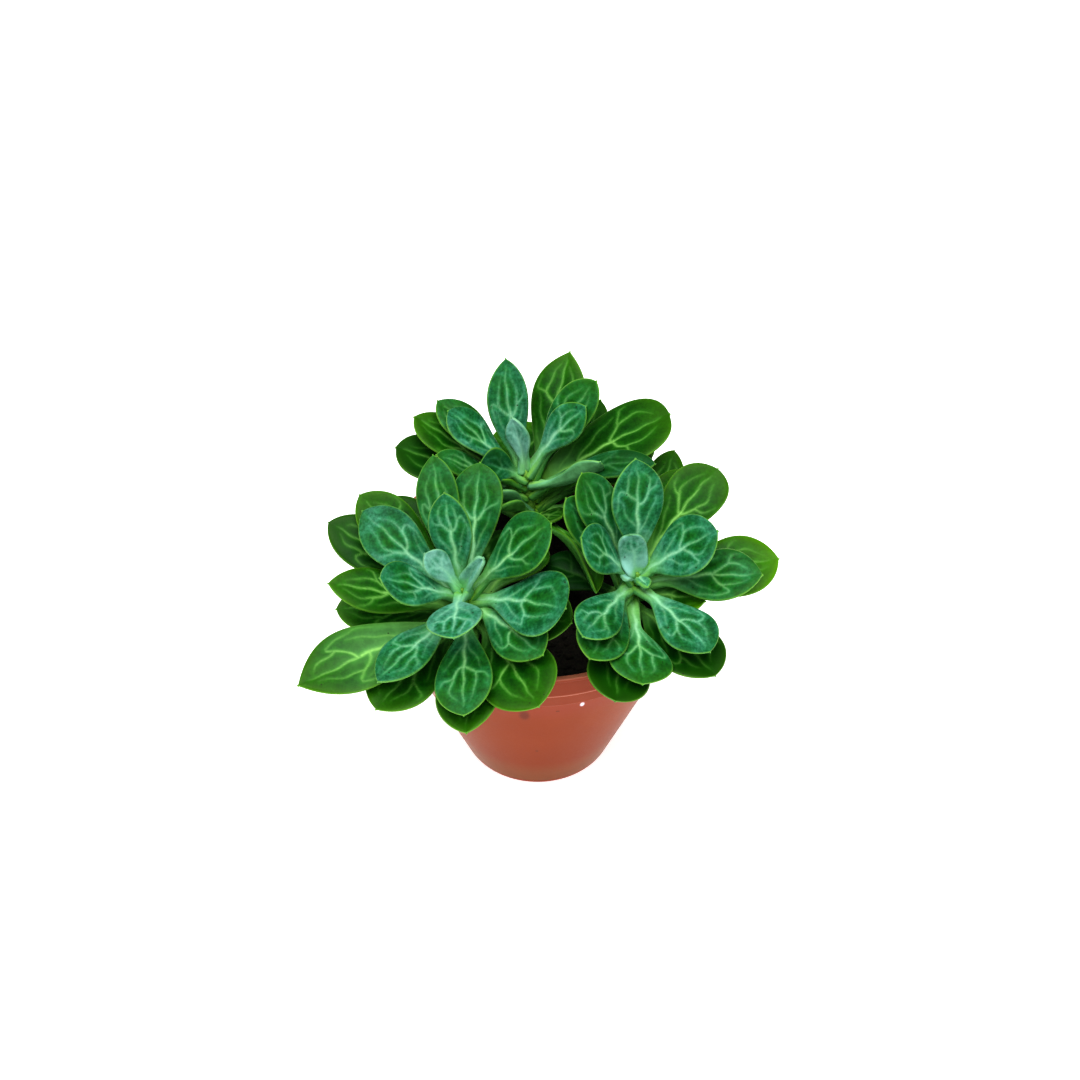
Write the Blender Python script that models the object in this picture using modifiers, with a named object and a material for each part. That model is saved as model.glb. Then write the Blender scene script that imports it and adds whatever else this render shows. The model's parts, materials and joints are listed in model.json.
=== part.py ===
# A potted senecio: a tapered nursery pot, its soil and three leafy stems that stand in the soil.
# Metres, +Z up. The origin is on the ground under the pot's middle, and -Y faces the viewer.

import math
import random

import bmesh
import bpy
import numpy as np
from mathutils import Vector

mm = 0.001

# The pot, a 100 mm nursery pot
rimRadius = 50 * mm
potHeight = 77 * mm
wall = 1.4 * mm
slantFactor = 1.02
lipHeight = 1.4 * mm
lipRound = 0.4 * mm
collarRadius = 49.3 * mm
collarFoot = 69 * mm
neckRadius = 48.5 * mm
stepHeight = 64 * mm
stepRadius = 47.8 * mm
stepRound = 0.5 * mm
baseRadius = 25 * mm
baseRound = 1 * mm
floorThickness = 2 * mm
drainRadius = 2.6 * mm
drainCircle = 15 * mm
drainCount = 6
drainSides = 10
potSteps = 48

# The soil
soilTop = 68 * mm
soilCrown = 2 * mm
soilBump = 0.7 * mm
soilWave = 5.5 * mm
soilInset = 0.4 * mm
soilSteps = 40
gap = 0.3 * mm

# The stems, with the heights along them in mm
stemFootRadius = 3.4 * mm
stemTopRadius = 1.6 * mm
stemSides = 10
footDepth = 14
stemAboveLast = 1.5
leafStep = 1.0

# The leaves
leafThickness = 1.3 * mm
leafRows = 6
leafCells = 4
rowCrowding = 1.5
firstRow = 0.03
stalkFold = 30
stalkCurl = 25
bladeStart = 0.1
bladeFull = 0.5
outerBend = 30
outerWidth = 16
outerDrop = 12
outerSpread = 3
goldenAngle = 137.5


def leaf(heading, rise, length, width, bend=25, roll=0, fold=8, curl=-6, sway=0,
         swell=1.5, tip=0.68, stalk=0.2, neck=3.2, level=None):
    # heading and rise: degrees of the line from root to tip, with 0 along +X and 90 along +Y
    # length: that line's length, and width: the blade's, in mm
    # bend: degrees that the midrib arches outward, and sway: its sideways bow, as a part of the length
    # roll: degrees that the blade turns on its midrib, fold: degrees that its halves rise,
    # and curl: how much more they rise by the margin
    # swell and tip: low values widen the blade near its stalk and round off its end
    # stalk: the part of the length that stays narrow, neck: its width, and level: leaf steps down
    # from the stem's top
    return dict(heading=heading, rise=rise, length=length, width=width, bend=bend, roll=roll,
                fold=fold, curl=curl, sway=sway, swell=swell, tip=tip, stalk=stalk, neck=neck,
                level=level)


# Each rosette's leaves, the youngest first, as they stand on the plant in the photograph
leftLeaves = [
    leaf(180, 55, 18, 8.5, fold=20),
    leaf(-22, 66, 17, 4.8, fold=45, roll=-30, swell=0.15, stalk=0.02, tip=0.25, level=0.3),
    leaf(-93, 20, 30, 16, bend=45, swell=0.9, stalk=0.42, neck=4, level=1.5),
    leaf(125, 75, 34, 12.3, swell=1.2, tip=0.75),
    leaf(-155, 35, 31, 14, sway=-0.04),
    leaf(0, 50, 38, 18),
    leaf(-35, 25, 38, 21, tip=0.5),
    leaf(-53, 12, 37, 15.5, tip=0.75),
    leaf(-90, -1, 43, 16.5),
    leaf(-125, 5, 42, 13.5, tip=0.8),
    leaf(155, 35, 42, 16.5, tip=0.7, sway=-0.02),
    leaf(112, 50, 46, 12.5, tip=0.75, sway=-0.04),
    leaf(85, 50, 43, 16),
    leaf(-147, 1, 57, 21.5, tip=0.95, sway=-0.025),
    leaf(150, 37, 48, 16),
    leaf(-66, 8, 48, 22, level=14),
    leaf(-125, 0, 46, 20),
    leaf(-172, 24, 46, 14, tip=0.8),
    leaf(162, 29, 52, 16),
    leaf(-175, 10, 42, 15),
    leaf(-91, 1, 47, 18, tip=0.75, level=16),
    leaf(-35, 22, 38, 17, level=12),
    leaf(132, 27, 44, 15, level=15),
]
rightLeaves = [
    leaf(180, 81, 16, 8.4, bend=5, roll=40, fold=3, swell=0.45, tip=0.3, stalk=0.05),
    leaf(-150, 25, 6, 3.5, fold=20, stalk=0.1, level=0.2),
    leaf(95, 75, 38, 16, swell=1.3, tip=0.8),
    leaf(-10, 45, 32, 18, swell=1.2),
    leaf(-160, 53, 28, 15),
    leaf(-56, 3, 36, 16),
    leaf(-115, 18, 38, 13.3),
    leaf(-15, 20, 40, 17, tip=0.8),
    leaf(143, 62, 39, 14),
    leaf(-87, 7, 42, 18, stalk=0.42, neck=4.4, level=11),
    leaf(-109, 13, 40, 15, level=9),
    leaf(40, 40, 45, 17, tip=0.5, sway=-0.03),
    leaf(165, 60, 38, 13),
    leaf(60, 34, 42, 13),
    leaf(69, 26, 50, 12),
    leaf(5, 15, 47, 19.5),
    leaf(-56.5, 7, 43.5, 19.5, swell=1.2, tip=0.6),
    leaf(-28, 18, 26, 14, level=12),
    leaf(-95, 10, 48, 18, tip=0.5),
    leaf(-62, 10, 7, 4, fold=35, stalk=0.05, level=0.4),
    leaf(20, 62, 8, 2.4, fold=45, stalk=0.05, level=0.6),
    leaf(150, 4, 28, 15, level=16),
]
backLeaves = [
    leaf(145, 75, 20, 7.5, tip=0.9, fold=15, roll=50),
    leaf(5, 55, 31, 11.2, roll=-40, stalk=0.25, tip=0.8),
    leaf(-165, 32, 17, 11, fold=25, roll=45),
    leaf(-26, 34, 29, 8.5, bend=-45, fold=25, roll=68),
    leaf(160, 40, 33, 13.5, tip=0.6, sway=-0.03),
    leaf(112, 65, 40, 12.4, sway=-0.05, swell=1.3, tip=0.8),
    leaf(15, 60, 42, 13, roll=-35),
    leaf(150, 35, 39, 13),
    leaf(64, 50, 45, 17.4, sway=0.035, tip=0.95),
    leaf(11, 30, 50, 26, swell=0.95, tip=0.42, stalk=0.08, sway=0.02),
    leaf(160, 30, 43, 15, sway=-0.02),
    leaf(170, 20, 44, 19, sway=-0.04, tip=0.6),
    leaf(95, 10, 34, 20),
    leaf(-17, 29, 44.5, 10, bend=48, roll=-12, level=9),
    leaf(-168, 42, 38, 9, roll=20),
    leaf(-142, 42, 22, 10, fold=20, roll=-40),
    leaf(-128, 38, 20, 9, fold=20, roll=-35),
    leaf(-64, 5, 44, 10, fold=45, roll=40, sway=-0.065),
    leaf(-48, 35, 17, 9, level=19),
    leaf(-8, 12, 38, 15, level=17),
    leaf(50, 30, 40, 16, level=12.5),
    leaf(20, 15, 42, 14, level=15.5),
    leaf(-160, 28, 15, 6, fold=50, level=5),
    leaf(-160, 22, 17, 7, fold=20, level=9),
]


def outerLeaves(count, fanStart, fanWidth, firstLevel, firstRise, length, seed):
    # The old leaves low on the stem's far side, turned by the golden angle within a fan of headings
    draw = random.Random(seed)
    found = []
    for place in range(count):
        heading = fanStart + fanWidth * (place * goldenAngle / 360 % 1)
        rise = firstRise - outerDrop * place / count + draw.uniform(-outerSpread, outerSpread)
        found.append(leaf(heading, rise, length * draw.uniform(0.9, 1.1), outerWidth * draw.uniform(0.85, 1.15),
                          bend=outerBend, level=firstLevel + place))
    return found


# Each stem leans from a foot in the soil to a top in the middle of its rosette, in mm
stems = {
    "left": dict(foot=(-15, -17, 60), top=(-21.2, -29, 92),
                 leaves=leftLeaves + outerLeaves(3, 50, 60, 13.5, 12, 32, 3)),
    "right": dict(foot=(22, -12, 60), top=(28.5, -24, 93.5),
                  leaves=rightLeaves + outerLeaves(3, 45, 60, 16, 12, 36, 5)),
    "back": dict(foot=(0, 14, 60), top=(-3.4, 11.5, 102),
                 leaves=backLeaves + outerLeaves(6, 30, 135, 14.5, 10, 42, 8)),
}

# Leaf geometry


def unitVector(vector):
    return vector / np.linalg.norm(vector)


def smoothStep(value):
    value = np.clip(value, 0, 1)
    return value * value * (3 - 2 * value)


def stemLine(stem):
    # The stem's lower and upper end and its direction, in mm
    foot = np.array(stem["foot"], float)
    top = np.array(stem["top"], float)
    axis = unitVector(top - foot)
    return foot - axis * footDepth, top + axis * stemAboveLast, axis


def leafRoot(stem, shape, place):
    # Leaves step down the stem in their order, apart from those with a level of their own
    low, high, axis = stemLine(stem)
    level = place if shape["level"] is None else shape["level"]
    return high - axis * (stemAboveLast + leafStep * level)


def halfWidth(shape, along):
    # A spoon: a narrow stalk with a clasping foot, which widens into the blade
    swell = shape["swell"]
    tip = shape["tip"]
    reach = np.clip((along - shape["stalk"]) / (1 - shape["stalk"]), 0, 1)
    peak = (swell / (swell + tip)) ** swell * (tip / (swell + tip)) ** tip
    blade = 0.5 * shape["width"] * reach ** swell * (1 - reach) ** tip / peak
    narrow = 0.5 * min(shape["neck"], 0.3 * shape["width"]) * np.sqrt(1 - along)
    narrow = narrow * (1 + 0.5 * np.exp(-along / 0.06))
    return np.hypot(blade, narrow)


def leafSurface(shape, root, axis, along, across):
    # The upper face, as rows from root to tip of points from one margin to the other, in mm
    heading = math.radians(shape["heading"])
    rise = math.radians(shape["rise"])
    ahead = np.array([math.cos(rise) * math.cos(heading), math.cos(rise) * math.sin(heading), math.sin(rise)])
    inward = unitVector(axis - (axis @ ahead) * ahead)
    side = np.cross(ahead, inward)

    # The midrib is an arc over the line from root to tip
    bend = math.radians(shape["bend"])
    arc = shape["length"] / (2 * math.sin(bend / 2))
    angle = bend * (0.5 - along)
    forward = arc * (math.sin(bend / 2) - np.sin(angle))
    lift = arc * (np.cos(angle) - math.cos(bend / 2))
    bow = shape["sway"] * shape["length"] * 4 * along * (1 - along)
    midrib = root + np.outer(forward, ahead) + np.outer(lift, inward) + np.outer(bow, side)
    normal = np.outer(np.cos(angle), inward) - np.outer(np.sin(angle), ahead)
    roll = math.radians(shape["roll"]) * smoothStep((along + 0.05) / 0.5)
    sideways = np.outer(np.cos(roll), side) + np.sin(roll)[:, None] * normal
    upward = np.cos(roll)[:, None] * normal - np.outer(np.sin(roll), side)

    # Each half rises by the fold at the midrib and turns on by the curl: a channel along the stalk
    blade = smoothStep((along - bladeStart) / (bladeFull - bladeStart))
    fold = np.radians(stalkFold * (1 - blade) + shape["fold"] * blade)[:, None]
    curl = np.radians(stalkCurl * (1 - blade) + shape["curl"] * blade)[:, None]
    curl = np.where(np.abs(curl) < 0.001, 0.001, curl)
    slope = fold + curl * np.abs(across)
    width = halfWidth(shape, along)[:, None]
    spread = width * (np.sin(slope) - np.sin(fold)) / curl * np.sign(across)
    height = width * (np.cos(fold) - np.cos(slope)) / curl
    return midrib[:, None] + spread[..., None] * sideways[:, None] + height[..., None] * upward[:, None]


# Blender helpers


def clearScene():
    for item in list(bpy.data.objects):
        bpy.data.objects.remove(item, do_unlink=True)
    for collection in list(bpy.data.collections):
        bpy.data.collections.remove(collection)


def makeCollection(name):
    collection = bpy.data.collections.new(name)
    bpy.context.scene.collection.children.link(collection)
    return collection


def makeMaterial(name, colour, roughness):
    material = bpy.data.materials.new(name)
    material.use_nodes = True
    surface = material.node_tree.nodes["Principled BSDF"]
    surface.inputs["Base Color"].default_value = (*colour, 1)
    surface.inputs["Roughness"].default_value = roughness
    surface.inputs["Metallic"].default_value = 0
    return material


def meshObject(name, bm, collection, material=None):
    mesh = bpy.data.meshes.new(name)
    bm.to_mesh(mesh)
    bm.free()
    if material:
        mesh.materials.append(material)
    item = bpy.data.objects.new(name, mesh)
    collection.objects.link(item)
    return item


def turnedObject(name, profile, steps, collection, material=None):
    # A profile of radius and height, which starts and ends on the axis, turned about Z
    bm = bmesh.new()
    points = [bm.verts.new((radius, 0, height)) for radius, height in profile]
    for first, second in zip(points, points[1:]):
        bm.edges.new((first, second))
    item = meshObject(name, bm, collection, material)
    turn = item.modifiers.new("Turn", "SCREW")
    turn.steps = steps
    turn.render_steps = steps
    turn.use_merge_vertices = True
    turn.merge_threshold = 0.00001
    return item


def roundPiece(name, start, end, startRadius, endRadius, sides, collection, material=None):
    # A straight piece between two points
    line = Vector(end) - Vector(start)
    bm = bmesh.new()
    bmesh.ops.create_cone(bm, cap_ends=True, segments=sides, radius1=startRadius, radius2=endRadius,
                          depth=line.length)
    item = meshObject(name, bm, collection, material)
    item.rotation_euler = line.to_track_quat("Z", "Y").to_euler()
    item.location = Vector(start) + line / 2
    return item


def makeCutter(name, start, end, startRadius, endRadius, sides, collection):
    cutter = roundPiece(name, start, end, startRadius, endRadius, sides, collection)
    cutter.display_type = "WIRE"
    cutter.hide_render = True


def addBoolean(item, operation, collection):
    boolean = item.modifiers.new(operation.title(), "BOOLEAN")
    boolean.operation = operation
    boolean.operand_type = "COLLECTION"
    boolean.collection = collection
    boolean.solver = "EXACT"


def evaluatedMesh(item):
    # The object's mesh with its modifiers and its place applied
    bpy.context.view_layer.update()
    mesh = bpy.data.meshes.new_from_object(item.evaluated_get(bpy.context.evaluated_depsgraph_get()))
    mesh.transform(item.matrix_world)
    return mesh


def bodyVolume(faces):
    total = 0
    for face in faces:
        first, second, third = [loop.vert.co for loop in face.loops]
        total += first.dot(second.cross(third)) / 6
    return total


def touchingFaces(start, left):
    # The closed skin that a face belongs to, taken out of the faces that are left
    left.remove(start)
    body = [start]
    for face in body:
        for edge in face.edges:
            for other in edge.link_faces:
                if other in left:
                    left.remove(other)
                    body.append(other)
    return body


def keepLargestBody(mesh):
    # Fusing can seal a hollow or leave a loose scrap, so only the largest skin stays
    bm = bmesh.new()
    bm.from_mesh(mesh)
    bmesh.ops.triangulate(bm, faces=bm.faces)
    bodies = []
    left = set(bm.faces)
    for face in bm.faces:
        if face in left:
            bodies.append(touchingFaces(face, left))
    largest = max(bodies, key=bodyVolume)
    loose = [face for body in bodies if body is not largest for face in body]
    bmesh.ops.delete(bm, geom=loose, context="FACES")
    bm.to_mesh(mesh)
    bm.free()


def shadeRound(item, degrees):
    item.data.shade_smooth()
    item.data.set_sharp_from_angle(angle=math.radians(degrees))


# The pot: a thin turned shell with a lip, a collar, a second step and holes in its floor


def makePot(parts, material):
    inset = wall * slantFactor
    profile = [
        (0, floorThickness),
        (baseRadius - inset, floorThickness),
        (stepRadius - inset, stepHeight),
        (neckRadius - inset, collarFoot),
        (rimRadius - wall - lipRound, potHeight - lipRound),
        (rimRadius - wall, potHeight),
        (rimRadius - lipRound, potHeight),
        (rimRadius, potHeight - lipRound),
        (rimRadius, potHeight - lipHeight),
        (collarRadius, potHeight - lipHeight - lipRound),
        (collarRadius, collarFoot),
        (neckRadius, collarFoot - stepRound),
        (neckRadius, stepHeight + stepRound),
        (stepRadius, stepHeight),
        (baseRadius, baseRound),
        (baseRadius - baseRound, 0),
        (0, 0),
    ]
    pot = turnedObject("pot", profile, potSteps, parts, material)
    drains = makeCollection("drain_cutters")
    for place in range(drainCount):
        turn = math.tau * (place + 0.5) / drainCount
        x = drainCircle * math.cos(turn)
        y = drainCircle * math.sin(turn)
        makeCutter("drain_cutter", (x, y, -floorThickness), (x, y, 2 * floorThickness), drainRadius,
                   drainRadius, drainSides, drains)
    addBoolean(pot, "DIFFERENCE", drains)
    shadeRound(pot, 35)


# The soil fills the pot just clear of its wall, with a plain hole for each stem


def makeSoil(parts, material):
    inset = wall * slantFactor + soilInset
    collarSlope = (neckRadius - stepRadius) / (collarFoot - stepHeight)
    edgeHeight = soilTop - soilCrown
    topRadius = stepRadius - inset + (edgeHeight - stepHeight) * collarSlope
    profile = [(topRadius * part, soilTop - soilCrown * part ** 2) for part in (0, 0.3, 0.55, 0.8, 1)]
    profile += [
        (stepRadius - inset, stepHeight),
        (baseRadius - inset, floorThickness + gap),
        (0, floorThickness + gap),
    ]
    turned = turnedObject("turned", profile, soilSteps, parts)
    mesh = evaluatedMesh(turned)
    bpy.data.objects.remove(turned)
    for vertex in mesh.vertices:
        x, y, z = vertex.co
        if z > edgeHeight + 0.1 * mm:
            vertex.co.z += soilBump * math.sin(x / soilWave) * math.cos(y / soilWave)
    mesh.materials.append(material)
    soil = bpy.data.objects.new("soil", mesh)
    parts.objects.link(soil)
    holes = makeCollection("stem_cutters")
    for stem in stems.values():
        low, high, axis = stemLine(stem)
        makeCutter("stem_cutter", (low - axis * gap / mm) * mm, high * mm, stemFootRadius + gap,
                   stemTopRadius + gap, stemSides, holes)
    addBoolean(soil, "DIFFERENCE", holes)


# A leafy stem: the stem with all of its leaves fused on


def makeLeaf(shape, root, axis, collection):
    steps = np.linspace(0, 1, leafRows + 1)
    along = firstRow + (1 - firstRow) * (1 - (1 - steps) ** rowCrowding)
    points = leafSurface(shape, root, axis, along, np.linspace(-1, 1, leafCells + 1)) * mm
    bm = bmesh.new()
    rows = [[bm.verts.new(point) for point in row] for row in points[:-1]]
    tip = bm.verts.new(points[-1][leafCells // 2])
    for lower, upper in zip(rows, rows[1:]):
        for cell in range(leafCells):
            bm.faces.new((lower[cell], lower[cell + 1], upper[cell + 1], upper[cell]))
    for cell in range(leafCells):
        bm.faces.new((rows[-1][cell], rows[-1][cell + 1], tip))
    bmesh.ops.triangulate(bm, faces=bm.faces)
    item = meshObject("leaf", bm, collection)
    solid = item.modifiers.new("Thickness", "SOLIDIFY")
    solid.thickness = leafThickness
    solid.offset = -1


def makeLeafyStem(name, stem, parts, material):
    low, high, axis = stemLine(stem)
    leaves = makeCollection(name + "_leaves")
    for place, shape in enumerate(stem["leaves"]):
        makeLeaf(shape, leafRoot(stem, shape, place), axis, leaves)
    base = roundPiece(name, low * mm, high * mm, stemFootRadius, stemTopRadius, stemSides, parts, material)
    addBoolean(base, "UNION", leaves)
    mesh = evaluatedMesh(base)
    keepLargestBody(mesh)
    for item in list(leaves.objects):
        bpy.data.objects.remove(item)
    bpy.data.collections.remove(leaves)
    bpy.data.objects.remove(base)
    fused = bpy.data.objects.new(name, mesh)
    parts.objects.link(fused)
    shadeRound(fused, 50)


def main():
    clearScene()
    parts = makeCollection("potted_senecio")
    makePot(parts, makeMaterial("pot_plastic", (0.52, 0.13, 0.06), 0.3))
    makeSoil(parts, makeMaterial("soil", (0.02, 0.015, 0.012), 0.9))
    green = makeMaterial("leaf", (0.03, 0.2, 0.06), 0.45)
    for side, stem in stems.items():
        makeLeafyStem("leafy_stem_" + side, stem, parts, green)


main()
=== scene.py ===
import json
import math
import random

import bmesh
import bpy
import numpy as np
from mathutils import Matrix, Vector

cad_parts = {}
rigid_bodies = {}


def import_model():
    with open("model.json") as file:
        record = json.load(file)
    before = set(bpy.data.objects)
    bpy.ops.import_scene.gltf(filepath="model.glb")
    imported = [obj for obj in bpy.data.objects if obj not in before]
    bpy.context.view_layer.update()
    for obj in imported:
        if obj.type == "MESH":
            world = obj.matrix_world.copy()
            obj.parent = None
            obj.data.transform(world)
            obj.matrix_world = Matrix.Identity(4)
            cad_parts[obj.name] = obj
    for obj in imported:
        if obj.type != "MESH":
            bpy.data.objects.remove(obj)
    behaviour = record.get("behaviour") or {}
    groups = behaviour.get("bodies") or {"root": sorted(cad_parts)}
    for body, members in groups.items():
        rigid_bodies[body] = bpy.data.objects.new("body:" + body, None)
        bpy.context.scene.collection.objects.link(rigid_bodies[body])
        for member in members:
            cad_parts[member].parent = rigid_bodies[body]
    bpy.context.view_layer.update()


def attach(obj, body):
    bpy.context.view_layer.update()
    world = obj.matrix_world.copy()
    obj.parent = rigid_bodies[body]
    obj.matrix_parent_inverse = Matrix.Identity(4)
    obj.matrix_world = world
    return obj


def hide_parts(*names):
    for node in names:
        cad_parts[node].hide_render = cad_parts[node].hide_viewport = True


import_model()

mm = 0.001


# Camera and studio

view = {
    "elevation": 42,  # degrees above the horizon, looking along +Y
    "distance": 450 * mm,
    "target": (0.8 * mm, 0, 85.5 * mm),
    "focalPixels": 1485,  # of a picture 1080 pixels wide
    "pictureWidth": 1080,
    "sensor": 36,
}
studio = {
    "floorColour": (0.9, 0.9, 0.9),
    "floorGlow": 0.45,  # keeps the floor pale under the leaves too
    "floorRoughness": 0.9,
    "floorReach": 3,
    "skyStrength": 0.26,
    "look": "High Contrast",
    "lamps": {
        # name: place, size, power
        "overhead": ((-0.15, -0.25, 1.35), 1.3, 20),
        "front": ((0.5, -1.0, 0.8), 0.7, 3),
    },
}


def addObject(name, data):
    added = bpy.data.objects.new(name, data)
    bpy.context.scene.collection.objects.link(added)
    return added


def makeCamera():
    data = bpy.data.cameras.new("camera")
    data.sensor_width = view["sensor"]
    data.lens = view["focalPixels"] / view["pictureWidth"] * view["sensor"]
    camera = addObject("camera", data)
    rise = math.radians(view["elevation"])
    back = Vector((0, -math.cos(rise), math.sin(rise)))
    camera.location = Vector(view["target"]) + back * view["distance"]
    camera.rotation_euler = (math.radians(90) - rise, 0, 0)
    bpy.context.scene.camera = camera


def makeLamp(name, place, size, power):
    data = bpy.data.lights.new(name, "AREA")
    data.size = size
    data.energy = power
    lamp = addObject(name, data)
    lamp.location = place
    aim = Vector(view["target"]) - Vector(place)
    lamp.rotation_euler = aim.to_track_quat("-Z", "Y").to_euler()


def makeStudio():
    scene = bpy.context.scene
    world = bpy.data.worlds.new("studio")
    world.use_nodes = True
    sky = world.node_tree.nodes["Background"]
    sky.inputs["Color"].default_value = (1, 1, 1, 1)
    sky.inputs["Strength"].default_value = studio["skyStrength"]
    scene.world = world
    for name, (place, size, power) in studio["lamps"].items():
        makeLamp(name, place, size, power)
    scene.view_settings.view_transform = "Standard"
    scene.view_settings.look = studio["look"]

    bm = bmesh.new()
    bmesh.ops.create_grid(bm, x_segments=1, y_segments=1, size=studio["floorReach"])
    mesh = bpy.data.meshes.new("floor")
    bm.to_mesh(mesh)
    bm.free()
    floor = addObject("floor", mesh)
    paint, _, surface = newMaterial("floorPaint")
    surface.inputs["Base Color"].default_value = (*studio["floorColour"], 1)
    surface.inputs["Emission Color"].default_value = (1, 1, 1, 1)
    surface.inputs["Emission Strength"].default_value = studio["floorGlow"]
    surface.inputs["Roughness"].default_value = studio["floorRoughness"]
    mesh.materials.append(paint)


# Node helpers

def linked(tree, kind, inputs=None, **settings):
    # A node with its settings, and inputs that are other sockets, values or colours without alpha
    node = tree.nodes.new(kind)
    for key, value in settings.items():
        setattr(node, key, value)
    for key, value in (inputs or {}).items():
        socket = node.inputs[key]
        if isinstance(value, bpy.types.NodeSocket):
            tree.links.new(value, socket)
        elif socket.type == "RGBA":
            socket.default_value = (*value, 1)
        else:
            socket.default_value = value
    return node


def mix(share, first, second):
    # Inputs 6 and 7 and output 2 are the mix node's colour sockets
    inputs = {0: share, 6: first, 7: second}
    return linked(share.id_data, "ShaderNodeMix", inputs, data_type="RGBA").outputs[2]


def calc(operation, first, second=0.5):
    # At least one of the two is another socket, which tells the tree
    tree = getattr(first, "id_data", None) or second.id_data
    return linked(tree, "ShaderNodeMath", {0: first, 1: second}, operation=operation).outputs[0]


def overlay(skin, paint, mask, strength):
    # The skin under a paint, which covers it as far as the mask times the strength says
    return mix(calc("MULTIPLY", mask, strength), skin, paint)


def between(value, low, high):
    # Runs from low to high as the value runs from 0 to 1
    inputs = {0: value, 1: high - low, 2: low}
    return linked(value.id_data, "ShaderNodeMath", inputs, operation="MULTIPLY_ADD").outputs[0]


def ramp(value, low, high):
    # 0 at the low end of the range and 1 at the high end, with a smooth turn
    inputs = {"Value": value, "From Min": low, "From Max": high}
    node = linked(value.id_data, "ShaderNodeMapRange", inputs, interpolation_type="SMOOTHSTEP")
    return node.outputs[0]


def objectPlace(tree):
    return tree.nodes.new("ShaderNodeTexCoord").outputs["Object"]


def noise(tree, scale, detail, roughness, distortion=0):
    inputs = {"Vector": objectPlace(tree), "Scale": scale, "Detail": detail, "Roughness": roughness,
              "Distortion": distortion}
    return linked(tree, "ShaderNodeTexNoise", inputs).outputs[0]


def addBump(surface, height, strength, distance):
    # An unevenness of the surface, its distance in mm
    tree = height.id_data
    inputs = {"Height": height, "Strength": strength, "Distance": distance * mm}
    tree.links.new(linked(tree, "ShaderNodeBump", inputs).outputs["Normal"], surface.inputs["Normal"])


def marks(tree, name):
    # A stored colour's three channels and its alpha
    node = linked(tree, "ShaderNodeAttribute", attribute_name=name, attribute_type="GEOMETRY")
    parts = linked(tree, "ShaderNodeSeparateColor", {"Color": node.outputs["Color"]})
    return parts.outputs[0], parts.outputs[1], parts.outputs[2], node.outputs["Alpha"]


def newMaterial(name):
    material = bpy.data.materials.new(name)
    material.use_nodes = True
    tree = material.node_tree
    return material, tree, tree.nodes["Principled BSDF"]


def newGroup(name, inputs, outputs):
    # A group with number sockets, and the sockets that its inside reads and fills
    tree = bpy.data.node_groups.new(name, "ShaderNodeTree")
    for way, names in (("INPUT", inputs), ("OUTPUT", outputs)):
        for socket in names:
            tree.interface.new_socket(socket, in_out=way, socket_type="NodeSocketFloat")
    return tree, tree.nodes.new("NodeGroupInput").outputs, tree.nodes.new("NodeGroupOutput").inputs


def makeMottleGroup():
    # Soft patches and fine grain, which several finishes share
    tree, source, result = newGroup("mottle", ("Patch Scale", "Grain Scale"), ("Patches", "Grain"))
    patches = noise(tree, source["Patch Scale"], detail=4, roughness=0.6, distortion=0.4)
    grain = noise(tree, source["Grain Scale"], detail=3, roughness=0.65)
    tree.links.new(ramp(patches, low=0.32, high=0.68), result["Patches"])
    tree.links.new(ramp(grain, low=0.3, high=0.7), result["Grain"])
    return tree


def makeSpeckGroup():
    # Specks of dust or dirt, in those cells of a loose grid whose random number passes the share
    tree, source, result = newGroup("specks", ("Scale", "Size", "Share"), ("Specks",))
    inputs = {"Vector": objectPlace(tree), "Scale": source["Scale"]}
    cells = linked(tree, "ShaderNodeTexVoronoi", inputs).outputs
    dots = calc("LESS_THAN", cells["Distance"], source["Size"])
    chosen = linked(tree, "ShaderNodeSeparateColor", {"Color": cells["Color"]}).outputs[0]
    kept = calc("GREATER_THAN", chosen, source["Share"])
    tree.links.new(calc("MULTIPLY", dots, kept), result["Specks"])
    return tree


def placed(tree, group, values):
    # The outputs of a group whose inputs have these values
    node = tree.nodes.new("ShaderNodeGroup")
    node.node_tree = group
    for name, value in values.items():
        node.inputs[name].default_value = value
    return node.outputs


# Leaf finish

leafFinish = {
    "deepGreen": (0.001, 0.045, 0.001), "freshGreen": (0.022, 0.17, 0.004),
    "deepBloom": (0.002, 0.09, 0.035), "freshBloom": (0.026, 0.27, 0.125),
    "powder": (0.28, 0.53, 0.46), "greenHalo": (0.045, 0.27, 0.015), "bloomHalo": (0.08, 0.37, 0.2),
    "greenVein": (0.32, 0.64, 0.17), "bloomVein": (0.36, 0.66, 0.43), "stalk": (0.24, 0.55, 0.2),
    "yellowStalk": (0.3, 0.55, 0.02), "lime": (0.16, 0.4, 0.001), "margin": (0.27, 0.55, 0.08),
    "under": (0.11, 0.33, 0.07), "youngUnder": (0.2, 0.48, 0.25), "speck": (0.02, 0.02, 0.008),
    "roughness": (0.39, 0.51),
    "specular": 0.16,
    "fineMottle": {"Patch Scale": 420, "Grain Scale": 2300},
    "broadMottle": {"Patch Scale": 130, "Grain Scale": 1100},
    "specks": {"Scale": 520, "Size": 0.13, "Share": 0.93},
    "pores": {"scale": 5200, "detail": 3, "roughness": 0.6},
    "poreBump": {"strength": 0.15, "distance": 0.08},
}
leafLayers = {
    # How strongly each layer shows: a number, or the range that a texture or a mark runs over
    "patches": 0.65, "flecks": (-0.15, 0.55), "lime": 0.9, "bloom": (0.72, 1.12),
    "bluish": (0.04, 0.7), "dust": (-0.07, 0.07), "powder": (0.35, 1.6), "halo": (0.3, 0.6),
    "yellowStalk": 1.2, "stalk": (0.85, 1.05), "vein": (0.8, 1.1), "specks": 0.7,
    "youngUnder": (0.3, 1.1), "underPatches": 0.3, "dryness": 0.1,
}


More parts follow.
